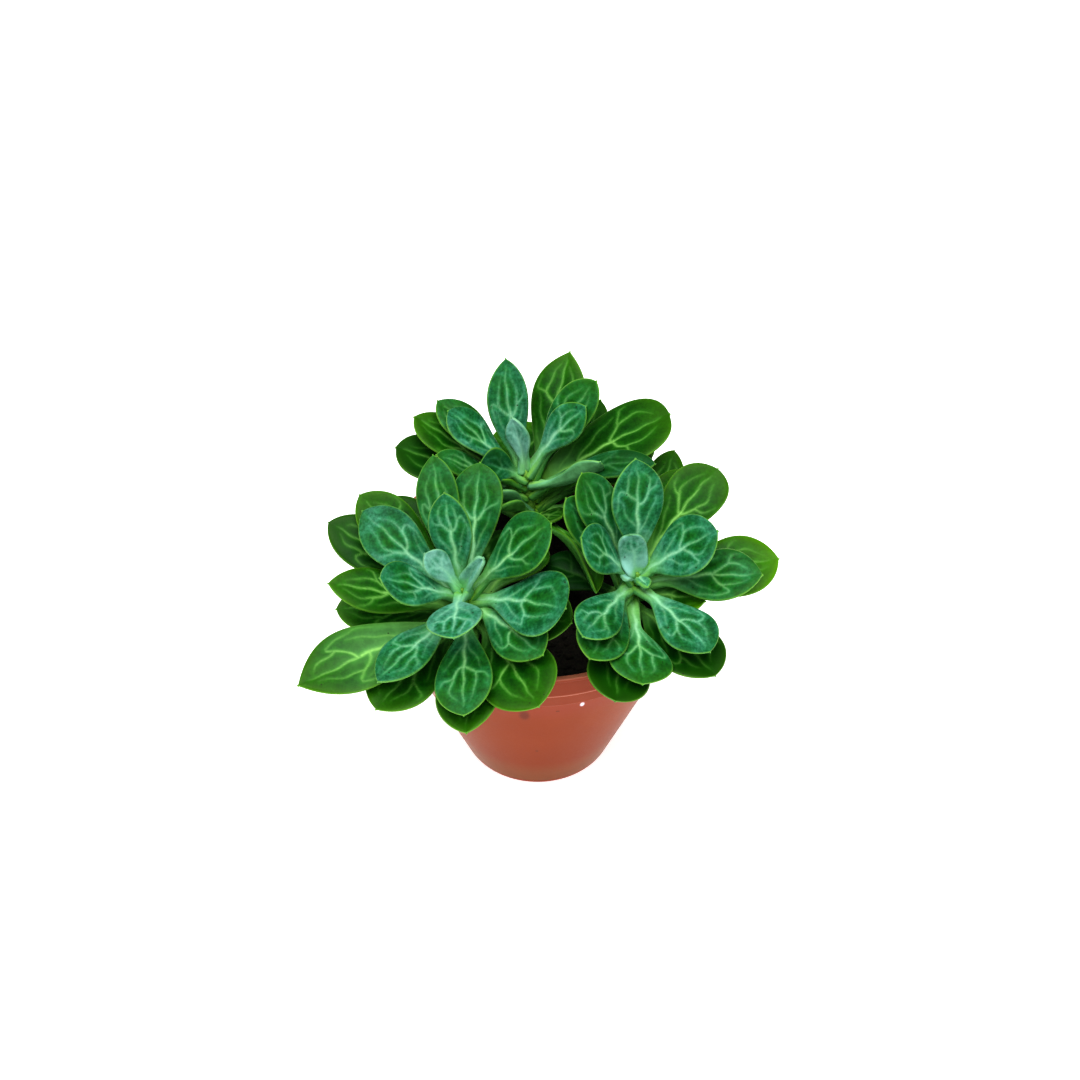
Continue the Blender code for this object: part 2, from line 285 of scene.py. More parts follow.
def makeLeafMaterial(mottle, specks):
    # Stored marks: vein, halo round the veins, margin, stalk; then powder, lime, depth, underside
    material, tree, surface = newMaterial("leafSkin")
    colour = leafFinish
    layer = leafLayers
    vein, halo, margin, stalk = marks(tree, "leafMarks")
    powder, lime, depth, under = marks(tree, "leafTone")
    fine = placed(tree, mottle, colour["fineMottle"])
    broad = placed(tree, mottle, colour["broadMottle"])

    # The blade between its veins is deep green, and bluer where the bloom lies on it
    patches = calc("MULTIPLY", fine["Patches"], layer["patches"])
    texture = calc("ADD", patches, between(broad["Grain"], *layer["flecks"]))
    fresh = calc("MULTIPLY", texture, calc("SUBTRACT", 1, depth))
    skin = mix(fresh, colour["deepGreen"], colour["freshGreen"])
    skin = overlay(skin, colour["lime"], lime, layer["lime"])
    bloom = calc("MULTIPLY", powder, between(broad["Patches"], *layer["bloom"]))
    bluish = ramp(bloom, *layer["bluish"])
    bloomSkin = mix(fresh, colour["deepBloom"], colour["freshBloom"])
    skin = mix(bluish, skin, bloomSkin)
    dusted = calc("ADD", bloom, between(broad["Grain"], *layer["dust"]))
    skin = mix(ramp(dusted, *layer["powder"]), skin, colour["powder"])

    # Round the veins the blade turns paler, and the veins are palest
    glow = mix(bluish, colour["greenHalo"], colour["bloomHalo"])
    skin = overlay(skin, glow, halo, between(fine["Grain"], *layer["halo"]))
    yellow = calc("MULTIPLY", lime, layer["yellowStalk"])
    petiole = mix(yellow, colour["stalk"], colour["yellowStalk"])
    skin = overlay(skin, petiole, stalk, between(fine["Patches"], *layer["stalk"]))
    line = mix(bluish, colour["greenVein"], colour["bloomVein"])
    skin = overlay(skin, line, vein, between(broad["Grain"], *layer["vein"]))
    skin = mix(margin, skin, colour["margin"])
    dots = placed(tree, specks, colour["specks"])["Specks"]
    skin = overlay(skin, colour["speck"], dots, layer["specks"])

    # The underside is plain, and paler on the young leaves
    young = ramp(powder, *layer["youngUnder"])
    back = mix(young, colour["under"], colour["youngUnder"])
    back = overlay(back, colour["deepGreen"], fine["Patches"], layer["underPatches"])
    skin = mix(under, skin, back)
    tree.links.new(skin, surface.inputs["Base Color"])

    dry = calc("MULTIPLY", powder, layer["dryness"])
    rough = calc("ADD", between(fine["Grain"], *colour["roughness"]), dry)
    tree.links.new(rough, surface.inputs["Roughness"])
    surface.inputs["Specular IOR Level"].default_value = colour["specular"]
    addBump(surface, noise(tree, **colour["pores"]), **colour["poreBump"])
    return material


# Leaves, in mm and degrees: the same lines as the solids follow

stemForm = {
    "footRadius": 3.4, "topRadius": 1.6,
    "footDepth": 14,  # how far the stem goes on below its foot
    "aboveLast": 1.5, "inset": 0.17, "scarDepth": 0.12, "scarRate": 2.6, "scarTilt": 0.8,
    "ribDepth": 0.05, "ribs": 7, "rounding": (0.96, 0.04), "closing": 0.97, "sides": 40,
    "rings": 90,
}
leafForm = {
    # Outline
    "neckShare": 0.3,  # the stalk takes at most this part of the blade's width
    "footSwell": 0.5, "footReach": 0.06, "pointLength": 0.45, "pointWidth": 0.2, "pointRound": 1.8,

    # Bends: where a turn starts and how far it reaches are parts of the length
    "stalkFold": 30, "stalkCurl": 25, "bladeTurn": (0.1, 0.4),
    "rollTurn": (-0.05, 0.5),

    # Rows and columns of points
    "firstRow": 0.03, "rowLimit": 0.997, "lastRow": 0.998, "rowTurn": (0.12, 0.2), "tipReach": 0.08,
    "tipSpacing": 0.25, "spacing": 0.38, "stalkSpacing": 0.75, "hiddenSpacing": 0.8,
    "crowding": 0.3,  # draws the columns towards the margins
    "underColumns": 10,

    # Thickness
    "thickness": 1.3, "stalkThickness": 2.1, "stalkReach": 0.25,
    "keel": 0.5, "keelReach": 1.3,

    # Relief
    "reliefTurn": (0.25, 0.3), "bulge": 0.17, "bulgeReach": 1.1, "ripple": 0.22,
    "rippleRate": (9, 14), "rippleSkew": 2.2,
}
tones = {
    # powder, lime at the tip and margins, depth of the green, strength of the veins and of the margin
    "youngest": (1.3, 0.0, 0.2, 0.4, 0.3),
    "young": (0.85, 0.15, 0.2, 0.75, 0.6),
    "glaucous": (0.6, 0.1, 0.3, 0.75, 0.55),
    "mature": (0.41, 0.18, 0.35, 0.85, 0.6),
    "green": (0.1, 0.2, 0.52, 0.9, 0.45),
    "lime": (0.0, 0.45, 0.5, 0.75, 0.45),
    "old": (0.03, 0.1, 0.85, 0.7, 0.4),
    # The shaded and dim tones are darker leaf colours for leaves that lie in shade: painted shade
    "shaded": (0.45, 0.05, 0.7, 0.2, 0.5),
    "dim": (0.15, 0.0, 1.0, 0.15, 0.15),
}
plainLeaf = {
    "bend": 25,  # the midrib's whole turn from root to tip
    "roll": 0,  # the blade's twist
    "fold": 8,  # the rise of each half at the midrib
    "curl": -6,  # its further turn towards the margin
    "sway": 0,  # sideways bow, as a part of the length
    "swell": 1.5,  # the larger, the nearer the widest place is to the tip
    "tip": 0.68,  # the larger, the sharper
    "stalk": 0.2,  # the part of the length before the blade
    "neck": 3.2,  # the stalk's width
    "level": None,  # mm below the top leaf, or else the leaf's place in its list
    "fork": 0.62,  # the part of the length at which the veins part
    "wash": 0.34,  # how far the stalk's pale colour reaches
    "hidden": False,
}


def leaf(tone, heading, rise, length, width, **changes):
    given = {"tone": tone, "heading": heading, "rise": rise, "length": length, "width": width}
    return {**plainLeaf, **given, **changes}


leftLeaves = [
    leaf("youngest", 180, 55, 18, 8.5, fold=20),
    leaf("youngest", -22, 66, 17, 4.8, fold=45, roll=-30, swell=0.15, stalk=0.02, tip=0.25, level=0.3),
    leaf("young", -93, 20, 30, 16, bend=45, swell=0.9, stalk=0.42, neck=4, level=1.5, fork=0.75),
    leaf("glaucous", 125, 75, 34, 12.3, swell=1.2, tip=0.75),
    leaf("glaucous", -155, 35, 31, 14, sway=-0.04),
    leaf("mature", 0, 50, 38, 18),
    leaf("glaucous", -35, 25, 38, 21, tip=0.5),
    leaf("mature", -53, 12, 37, 15.5, tip=0.75),
    leaf("mature", -90, -1, 43, 16.5),
    leaf("glaucous", -125, 5, 42, 13.5, tip=0.8, wash=0.5),
    leaf("glaucous", 155, 35, 42, 16.5, tip=0.7, sway=-0.02),
    leaf("mature", 112, 50, 46, 12.5, tip=0.75, sway=-0.04),
    leaf("mature", 85, 50, 43, 16),
    leaf("green", -147, 1, 57, 21.5, tip=0.95, sway=-0.025, wash=0.85),
    leaf("green", 150, 37, 48, 16),
    leaf("green", -66, 8, 48, 22, level=14),
    leaf("green", -125, 0, 46, 20),
    leaf("green", -172, 24, 46, 14, tip=0.8),
    leaf("old", 162, 29, 52, 16),
    leaf("green", -175, 10, 42, 15),
    leaf("green", -91, 1, 47, 18, tip=0.75, level=16),
    leaf("old", -35, 22, 38, 17, level=12),
    leaf("old", 132, 27, 44, 15, level=15),
]
rightLeaves = [
    leaf("youngest", 180, 81, 16, 8.4, bend=5, roll=40, fold=3, swell=0.45, tip=0.3, stalk=0.05, wash=0.1),
    leaf("youngest", -150, 25, 6, 3.5, fold=20, stalk=0.1, level=0.2),
    leaf("glaucous", 95, 75, 38, 16, swell=1.3, tip=0.8),
    leaf("glaucous", -10, 45, 32, 18, swell=1.2),
    leaf("glaucous", -160, 53, 28, 15),
    leaf("glaucous", -56, 3, 36, 16),
    leaf("glaucous", -115, 18, 38, 13.3),
    leaf("mature", -15, 20, 40, 17, tip=0.8, wash=0.5),
    leaf("mature", 143, 62, 39, 14),
    leaf("mature", -87, 7, 42, 18, stalk=0.42, neck=4.4, level=11, fork=0.68, wash=0.62),
    leaf("mature", -109, 13, 40, 15, level=9),
    leaf("green", 40, 40, 45, 17, tip=0.5, sway=-0.03),
    leaf("mature", 165, 60, 38, 13),
    leaf("green", 60, 34, 42, 13),
    leaf("green", 69, 26, 50, 12),
    leaf("lime", 5, 15, 47, 19.5),
    leaf("old", -56.5, 7, 43.5, 19.5, swell=1.2, tip=0.6),
    leaf("lime", -28, 18, 26, 14, level=12, wash=0.6),
    leaf("old", -95, 10, 48, 18, tip=0.5),
    leaf("young", -62, 10, 7, 4, fold=35, stalk=0.05, level=0.4),
    leaf("young", 20, 62, 8, 2.4, fold=45, stalk=0.05, level=0.6),
    # A leaf in the gap, darkened with the dim tone as painted shade
    leaf("dim", 150, 4, 28, 15, level=16, wash=0.05),
]
backLeaves = [
    leaf("youngest", 145, 75, 20, 7.5, tip=0.9, fold=15, roll=50),
    leaf("glaucous", 5, 55, 31, 11.2, roll=-40, stalk=0.25, tip=0.8),
    # The shaded tone darkens this leaf as painted shade
    leaf("shaded", -165, 32, 17, 11, fold=25, roll=45),
    leaf("young", -26, 34, 29, 8.5, bend=-45, fold=25, roll=68),
    leaf("glaucous", 160, 40, 33, 13.5, tip=0.6, sway=-0.03),
    leaf("glaucous", 112, 65, 40, 12.4, sway=-0.05, swell=1.3, tip=0.8),
    leaf("mature", 15, 60, 42, 13, roll=-35),
    leaf("mature", 150, 35, 39, 13),
    leaf("green", 64, 50, 45, 17.4, sway=0.035, tip=0.95),
    leaf("green", 11, 30, 50, 26, swell=0.95, tip=0.42, stalk=0.08, sway=0.02),
    leaf("green", 160, 30, 43, 15, sway=-0.02),
    leaf("old", 170, 20, 44, 19, sway=-0.04, tip=0.6),
    leaf("lime", 95, 10, 34, 20),
    # The shaded tone darkens this leaf as painted shade
    leaf("shaded", -17, 29, 44.5, 10, bend=48, roll=-12, level=9),
    leaf("mature", -168, 42, 38, 9, roll=20),
    leaf("young", -142, 42, 22, 10, fold=20, roll=-40),
    leaf("mature", -128, 38, 20, 9, fold=20, roll=-35),
    leaf("green", -64, 5, 44, 10, fold=45, roll=40, sway=-0.065, wash=0.02),
    leaf("old", -48, 35, 17, 9, level=19),
    leaf("old", -8, 12, 38, 15, level=17),
    leaf("old", 50, 30, 40, 16, level=12.5),
    leaf("old", 20, 15, 42, 14, level=15.5),
    leaf("lime", -160, 28, 15, 6, fold=50, level=5),
    leaf("old", -160, 22, 17, 7, fold=20, level=9),
]


def outerLeaves(count, fanStart, fanWidth, firstLevel, firstRise, length, seed):
    # The old leaves low on the stem's far side, turned by the golden angle within a fan of headings
    draw = random.Random(seed)
    goldenAngle = 137.5
    found = []
    for place in range(count):
        heading = fanStart + fanWidth * (place * goldenAngle / 360 % 1)
        rise = firstRise - 12 * place / count + draw.uniform(-3, 3)
        drawnLength = length * draw.uniform(0.9, 1.1)
        drawnWidth = 16 * draw.uniform(0.85, 1.15)
        found.append(leaf("old", heading, rise, drawnLength, drawnWidth, bend=30,
                          level=firstLevel + place, hidden=True))
    return found


stems = {
    "left": dict(foot=(-15, -17, 60), top=(-21.2, -29, 92),
                 leaves=leftLeaves + outerLeaves(3, 50, 60, 13.5, 12, 32, 3)),
    "right": dict(foot=(22, -12, 60), top=(28.5, -24, 93.5),
                  leaves=rightLeaves + outerLeaves(3, 45, 60, 16, 12, 36, 5)),
    "back": dict(foot=(0, 14, 60), top=(-3.4, 11.5, 102),
                 leaves=backLeaves + outerLeaves(6, 30, 135, 14.5, 10, 42, 8)),
}


def unitVector(vector):
    return vector / np.linalg.norm(vector)


def smoothStep(value, start, reach):
    # Turns smoothly from 0 at the start to 1 at the end of its reach
    value = np.clip((value - start) / reach, 0, 1)
    return value * value * (3 - 2 * value)


def fading(distance, reach):
    # 1 at no distance, and next to nothing at twice the reach
    return np.exp(-(distance / reach) ** 2)


def anyPhase(draw):
    return draw.uniform(0, 6)


def stemLine(stem):
    foot = np.array(stem["foot"], float)
    top = np.array(stem["top"], float)
    axis = unitVector(top - foot)
    return foot - axis * stemForm["footDepth"], top + axis * stemForm["aboveLast"], axis


def leafRoot(stem, shape, place):
    high, axis = stemLine(stem)[1:]
    level = place if shape["level"] is None else shape["level"]
    return high - axis * (stemForm["aboveLast"] + level), axis


def halfWidth(shape, along):
    # A spoon: a narrow stalk with a clasping foot, which widens into the blade and ends in a small point
    form = leafForm
    swell = shape["swell"]
    tip = shape["tip"]
    bladeEnd = 1 - form["pointLength"] / shape["length"]
    reach = np.clip((along - shape["stalk"]) / (bladeEnd - shape["stalk"]), 0, 1)
    peak = (swell / (swell + tip)) ** swell * (tip / (swell + tip)) ** tip
    blade = 0.5 * shape["width"] * reach ** swell * (1 - reach) ** tip / peak
    narrow = 0.5 * min(shape["neck"], form["neckShare"] * shape["width"]) * np.sqrt(1 - along)
    narrow = narrow * (1 + form["footSwell"] * np.exp(-along / form["footReach"]))
    ahead = (1 - along) * shape["length"] / form["pointLength"]
    point = form["pointWidth"] * np.exp(-ahead) * np.sqrt(np.clip(ahead * form["pointRound"], 0, 1))
    return np.hypot(blade, narrow) + point


def rowPlaces(length, spacing):
    # Rows along the leaf: wide apart on the stalk, close on the blade and closest at the tip
    form = leafForm
    found = [form["firstRow"]]
    while found[-1] < form["rowLimit"]:
        blade = float(smoothStep(found[-1], *form["rowTurn"]))
        step = form["stalkSpacing"] + (spacing - form["stalkSpacing"]) * blade
        near = min(1, (1 - found[-1]) / form["tipReach"])
        closeness = form["tipSpacing"] + (1 - form["tipSpacing"]) * near
        found.append(found[-1] + step * closeness / length)
    found[-1] = form["lastRow"]
    return np.array(found)


def leafGrid(shape):
    # Places along as a column, across as a row, the half width, and points in the flat blade
    form = leafForm
    spacing = form["hiddenSpacing"] if shape["hidden"] else form["spacing"]
    even = np.linspace(-1, 1, 2 * int(shape["width"] / spacing / 2) + 1)
    across = (1 - form["crowding"]) * even + form["crowding"] * np.sin(0.5 * math.pi * even)
    along = rowPlaces(shape["length"], spacing)[:, None]
    width = halfWidth(shape, along)
    flat = np.stack(np.broadcast_arrays(across * width, along * shape["length"]), -1)
    return along, across, width, flat


def leafSurface(shape, root, axis, grid):
    # The upper face, as rows from root to tip of points from one margin to the other
    form = leafForm
    along, across, width = grid[:3]
    heading = math.radians(shape["heading"])
    rise = math.radians(shape["rise"])
    level = math.cos(rise)
    ahead = np.array([level * math.cos(heading), level * math.sin(heading), math.sin(rise)])
    inward = unitVector(axis - (axis @ ahead) * ahead)
    side = np.cross(ahead, inward)

    # The midrib is an arc over the line from root to tip
    bend = math.radians(shape["bend"])
    arc = shape["length"] / (2 * math.sin(bend / 2))
    angle = bend * (0.5 - along)
    forward = arc * (math.sin(bend / 2) - np.sin(angle))
    lift = arc * (np.cos(angle) - math.cos(bend / 2))
    bow = shape["sway"] * shape["length"] * 4 * along * (1 - along)
    midrib = root + forward * ahead + lift * inward + bow * side
    normal = np.cos(angle) * inward - np.sin(angle) * ahead
    roll = math.radians(shape["roll"]) * smoothStep(along, *form["rollTurn"])
    sideways = np.cos(roll) * side + np.sin(roll) * normal
    upward = np.cos(roll) * normal - np.sin(roll) * side

    # Each half rises by the fold at the midrib and turns on by the curl
    blade = smoothStep(along, *form["bladeTurn"])
    fold = np.radians(form["stalkFold"] * (1 - blade) + shape["fold"] * blade)
    curl = np.radians(form["stalkCurl"] * (1 - blade) + shape["curl"] * blade)
    curl = np.where(np.abs(curl) < 0.001, 0.001, curl)
    slope = fold + curl * np.abs(across)
    spread = width * (np.sin(slope) - np.sin(fold)) / curl * np.sign(across)
    height = width * (np.cos(fold) - np.cos(slope)) / curl
    return midrib[:, None] + spread[..., None] * sideways[:, None] + height[..., None] * upward[:, None]


# Veins: short straight strokes in the flattened blade, in mm

veinForm = {
    "steps": 9, "haloReach": 1.0, "waver": 0.22, "waverRates": (0.9, 1.3),
    "forkSpread": (-0.04, 0.04), "midribSway": (-0.05, 0.05), "lowDrop": (0.2, 0.28),
    "turnsBack": 0.35,  # the part of the outer branches that turn back towards the root
    "arm": {
        # Drawn for each arm in this order
        "start": (-0.05, 0.02), "knee": (0.34, 0.46), "climb": (0.07, 0.11),
        "innerAcross": (0.4, 0.52), "innerAlong": (0.17, 0.21), "outerAcross": (0.7, 0.8),
        "outerAlong": (0.0, 0.05),
    },
    "lines": {
        # Width and strength, each from the start of the line to its end
        "midrib": ((0.85, 0.45), (1, 0.95)), "upperMidrib": ((0.36, 0.3), (0.7, 0.1)),
        "arm": ((0.4, 0.35), (0.72, 0.5)), "innerBranch": ((0.34, 0.3), (0.45, 0.05)),
        "outerBranch": ((0.33, 0.3), (0.42, 0.05)), "lowVein": ((0.38, 0.3), (0.5, 0.08)),
        "edgeVein": ((0.36, 0.3), (0.28, 0.03)),
    },
}


def veinLine(points, widths, strengths):
    # A smooth line through the points, whose width and strength change from its start to its end
    steps = veinForm["steps"]
    points = np.array(points, float)
    guide = np.vstack([2 * points[0] - points[1], points, 2 * points[-1] - points[-2]])
    share = np.linspace(0, len(points) - 1, steps + 1)
    found = []
    for value in share:
        place = min(int(value), len(points) - 2)
        t = value - place
        before, start, end, after = guide[place:place + 4]
        square = 2 * before - 5 * start + 4 * end - after
        cube = 3 * start - before - 3 * end + after
        found.append(0.5 * (2 * start + (end - before) * t + square * t ** 2 + cube * t ** 3))
    width = np.interp(share, [0, share[-1]], widths)
    strength = np.interp(share, [0, share[-1]], strengths)
    ends = list(zip(found, width, strength))
    return list(zip(ends, ends[1:]))


def leafVeins(shape, draw):
    form = veinForm
    fork = shape["fork"] + draw.uniform(*form["forkSpread"])
    sway = draw.uniform(*form["midribSway"])
    strokes = []

    def add(kind, *places):
        # A line through places given as parts of the half width and of the length
        points = [(across * float(halfWidth(shape, along)), along * shape["length"])
                  for across, along in places]
        strokes.extend(veinLine(points, *form["lines"][kind]))

    # The midrib, which thins out above the fork
    add("midrib", (0, 0), (0, 0.5 * fork), (sway, fork))
    add("upperMidrib", (sway, fork), (-sway, 0.5 + 0.5 * fork), (0, 0.93))
    for side in (-1, 1):
        # Two arms open at the fork, and each parts in two before the margin
        arm = {name: draw.uniform(*span) for name, span in form["arm"].items()}
        start = fork + arm["start"]
        climbed = start + arm["climb"]
        knee = (side * arm["knee"], climbed)
        outer = (side * arm["outerAcross"], climbed + arm["outerAlong"])
        inner = (side * arm["innerAcross"], start + arm["innerAlong"])
        add("arm", (sway, start), (side * 0.45 * arm["knee"], start + 0.3 * arm["climb"]), knee)
        add("innerBranch", knee, inner, (side * 0.28, 0.9))
        if draw.random() < form["turnsBack"]:
            add("outerBranch", knee, outer, (side * 0.85, start - 0.05), (side * 0.8, start - 0.15))
        else:
            add("outerBranch", knee, outer, (side * 0.86, climbed + 0.09))

        # A long vein leaves the midrib low on the blade, and a faint one runs by the margin
        low = fork - draw.uniform(*form["lowDrop"])
        add("lowVein", (0, low), (side * 0.26, low + 0.07), (side * 0.52, fork - 0.06),
            (side * 0.66, fork + 0.04))
        add("edgeVein", (side * 0.25, 0.26), (side * 0.55, 0.36), (side * 0.8, low + 0.14))
    return strokes


def strokeMarks(strokes, points):
    # The strength of the veins and of the soft halo round them, and the distance to the nearest one
    vein = np.zeros(len(points))
    halo = np.zeros(len(points))
    nearest = np.full(len(points), 9.0)
    for (start, startWidth, startStrength), (end, endWidth, endStrength) in strokes:
        line = end - start
        share = np.clip((points - start) @ line / max(line @ line, 1e-9), 0, 1)
        gap = np.linalg.norm(points - start - share[:, None] * line, axis=1)
        width = startWidth + (endWidth - startWidth) * share
        strength = startStrength + (endStrength - startStrength) * share
        vein = np.maximum(vein, strength * fading(gap, width))
        halo = np.maximum(halo, np.sqrt(strength) * fading(gap, veinForm["haloReach"] + width))
        nearest = np.minimum(nearest, gap + 1 - strength)
    return vein, halo, nearest


# Meshes

mapForm = {
    # Parts of the map, for the skin and for a small disc at each end
    "start": 0.02, "height": 0.96, "capRadius": 0.007, "firstCap": (0.01, 0.009),
    "lastCap": (0.99, 0.99),
}


def meshFrom(name, points, faces, material):
    mesh = bpy.data.meshes.new(name)
    mesh.from_pydata([tuple(point) for point in points], [], faces)
    mesh.materials.append(material)
    mesh.shade_smooth()
    return addObject(name, mesh)


def storeColour(mesh, name, values):
    layer = mesh.attributes.new(name, "FLOAT_COLOR", "POINT")
    layer.data.foreach_set("color", np.asarray(values, np.float32).ravel())


def dressStem(piece, side):
    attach(piece, "root")
    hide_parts("leafy_stem_" + side)


def loftFaces(rows, ring):
    # The faces of a closed skin over rings of points, with a cap at each end
    faces = []
    for low in range(0, (rows - 1) * ring, ring):
        high = low + ring
        for cell in range(ring):
            after = (cell + 1) % ring
            faces.append((low + cell, low + after, high + after, high + cell))
    faces.append(tuple(range(ring - 1, -1, -1)))
    faces.append(tuple((rows - 1) * ring + cell for cell in range(ring)))
    return faces


def ringMap(mesh, ring, places):
    # The skin laid out flat: round the ring across, and root to tip up the map
    cell = np.arange(ring)
    height = mapForm["start"] + mapForm["height"] * places
    found = np.zeros((len(places) - 1, ring, 4, 2))
    found[..., 0] = np.stack([cell, cell + 1, cell + 1, cell], 1) / ring
    found[..., :2, 1] = height[:-1, None, None]
    found[..., 2:, 1] = height[1:, None, None]
    turn = 2 * math.pi * cell / ring
    circle = np.stack([np.cos(turn), np.sin(turn)], 1) * mapForm["capRadius"]
    caps = np.concatenate([circle[::-1] + mapForm["firstCap"], circle + mapForm["lastCap"]])
    layer = mesh.uv_layers.new(name="OFBake")
    layer.data.foreach_set("uv", np.concatenate([found.reshape(-1, 2), caps]).astype(np.float32).ravel())


def leafRings(shape, root, axis, grid, nearest, draw):
    # Rings of points round each row: over the top from margin to margin, then back underneath
    form = leafForm
    along, across, width, flat = grid
    face = leafSurface(shape, root, axis, grid)
    outward = np.cross(np.gradient(face, axis=0), np.gradient(face, axis=1))
    outward /= np.linalg.norm(outward, axis=2)[..., None]
    if outward[len(along) // 2, len(across) // 2] @ axis < 0:
        outward = -outward

    # The blade swells between its veins, is round at its margins and thickens into its stalk
    blade = smoothStep(along, *form["reliefTurn"])
    stalkMore = form["stalkThickness"] - form["thickness"]
    thick = form["thickness"] + stalkMore * fading(along, form["stalkReach"])
    thick = thick * np.sqrt(np.clip(1 - along ** 14, 0.08, 1))
    thick = np.minimum(thick, 1.5 * width + 0.15)
    full = np.sqrt(1 - np.abs(across) ** 7)
    bulge = form["bulge"] * (1 - fading(nearest, form["bulgeReach"])) * blade * (1 - across ** 4)
    turn = along * draw.uniform(*form["rippleRate"]) + anyPhase(draw) + form["rippleSkew"] * across
    wave = form["ripple"] * np.sin(turn) * across ** 2 * blade
    keel = form["keel"] * fading(flat[..., 0], form["keelReach"]) * (1 - along ** 3)
    upper = face + ((full - 1) * thick / 2 + bulge + wave)[..., None] * outward
    lower = face + (-(full + 1) * thick / 2 - keel * full + wave)[..., None] * outward
    underAt = np.linspace(len(across) - 1, 0, form["underColumns"] + 2)[1:-1]
    below = np.stack([lower[:, int(round(at))] for at in underAt], 1)
    return np.concatenate([upper, below], 1)


def leafColours(shape, grid, vein, halo, nearest, draw):
    # Marks and tone of every point; reaches are in mm across the blade and parts of the length along it
    along, across, width, flat = grid
    x, y = flat[..., 0], flat[..., 1]
    powder, lime, depth, strength, marginStrength = tones[shape["tone"]]
    fromEdge = (1 - np.abs(across)) * width
    margin = fading(fromEdge, 0.3) * smoothStep(along, *leafForm["reliefTurn"])
    middle = 0.6 + 0.4 * fading(x, 2.4)
    stalk = (1 - smoothStep(along, 0.14, shape["wash"])) * middle
    patch = 0.5 + 0.5 * np.sin(y * 0.35 + anyPhase(draw)) * np.cos(x * 0.5)
    tipward = smoothStep(along, 0.72, 0.28) * 0.8
    edgeward = 0.6 * fading(fromEdge, 1.8)
    limeHere = lime * (tipward + edgeward + 0.15 * patch)
    footLime = 0.5 * (shape["tone"] != "youngest") + lime
    limeHere = limeHere + footLime * fading(along, 0.16)

    # Between the veins round the fork the blade stays green, and it is deepest there
    cell = 1 - fading(nearest, 1.5)
    pastFork = along - shape["fork"] - 0.08
    nearFork = fading(pastFork, 0.17) * (1 - np.abs(across) ** 3)
    powderHere = powder * (1.25 + 0.2 * patch - 0.45 * along - 0.7 * cell * nearFork)
    depthHere = np.clip(depth + 0.32 * cell - 0.1, 0, 1)
    topMarks = [vein * strength, halo * strength, margin * marginStrength, stalk * 0.9]
    topTone = [powderHere, limeHere, depthHere, np.zeros_like(vein)]

    # The underside has only its leaf's powder
    lowMarks = np.zeros((len(along), leafForm["underColumns"], 4))
    lowTone = lowMarks + (powder, 0, 0, 1)
    return (np.concatenate([np.stack(topMarks, -1), lowMarks], 1),
            np.concatenate([np.stack(topTone, -1), lowTone], 1))


def makeLeaf(name, stem, side, shape, place, material):
    draw = random.Random(100 * len(side) + place * 7 + 1)
    root, axis = leafRoot(stem, shape, place)
    grid = leafGrid(shape)
    along, flat = grid[0], grid[3]
    phases = (anyPhase(draw), anyPhase(draw))
    bent = flat + veinForm["waver"] * np.sin(flat[..., ::-1] * veinForm["waverRates"] + phases)
    found = strokeMarks(leafVeins(shape, draw), bent.reshape(-1, 2))
    vein, halo, nearest = (values.reshape(flat.shape[:2]) for values in found)
    rings = leafRings(shape, root, axis, grid, nearest, draw)
    marksHere, toneHere = leafColours(shape, grid, vein, halo, nearest, draw)
    faces = loftFaces(*rings.shape[:2])
    piece = meshFrom(name, (rings * mm).reshape(-1, 3), faces, material)
    ringMap(piece.data, rings.shape[1], along.ravel())
    storeColour(piece.data, "leafMarks", marksHere)
    storeColour(piece.data, "leafTone", toneHere)
    dressStem(piece, side)
    return len(faces)


def makeStem(name, stem, side, material):
    # The stalk that the leaves grow from, ringed by the scars of fallen leaves
    form = stemForm
    low, high, axis = stemLine(stem)
    across = unitVector(np.cross(axis, [1.0, 0, 0]))
    beside = np.cross(axis, across)
    share = np.linspace(0, 1, form["rings"])[:, None]
    turn = np.linspace(0, 2 * math.pi, form["sides"], endpoint=False)
    height = share * np.linalg.norm(high - low)
    radius = form["footRadius"] + (form["topRadius"] - form["footRadius"]) * share
    tilt = np.sin(turn * 2) * form["scarTilt"]
    scar = form["scarDepth"] * np.sin(height * form["scarRate"] + tilt)
    scar = scar + form["ribDepth"] * np.sin(turn * form["ribs"])
    rounding = np.sqrt(1 - form["closing"] * smoothStep(share, *form["rounding"]))
    around = (radius - form["inset"] + scar) * rounding
    circle = np.cos(turn)[:, None] * across + np.sin(turn)[:, None] * beside
    points = low + height[..., None] * axis + around[..., None] * circle
    piece = meshFrom(name, (points * mm).reshape(-1, 3), loftFaces(form["rings"], form["sides"]), material)
    dressStem(piece, side)


stemFinish = {
    "deep": (0.09, 0.25, 0.03),
    "pale": (0.22, 0.42, 0.07),
    "fleck": (0.12, 0.12, 0.03),
    "fleckStrength": 0.25,
    "roughness": 0.6,
    "mottle": {"Patch Scale": 500, "Grain Scale": 3000},
    "bump": {"strength": 0.3, "distance": 0.2},
}


def makeGrainyMaterial(name, mottle, finish):
    # Two colours in patches, and flecks of a third on the grain that also roughens the surface
    material, tree, surface = newMaterial(name)
    spots = placed(tree, mottle, finish["mottle"])
    skin = mix(spots["Patches"], finish["deep"], finish["pale"])
    skin = overlay(skin, finish["fleck"], spots["Grain"], finish["fleckStrength"])
    tree.links.new(skin, surface.inputs["Base Color"])
    surface.inputs["Roughness"].default_value = finish["roughness"]
    addBump(surface, spots["Grain"], **finish["bump"])
    return material


# Pot

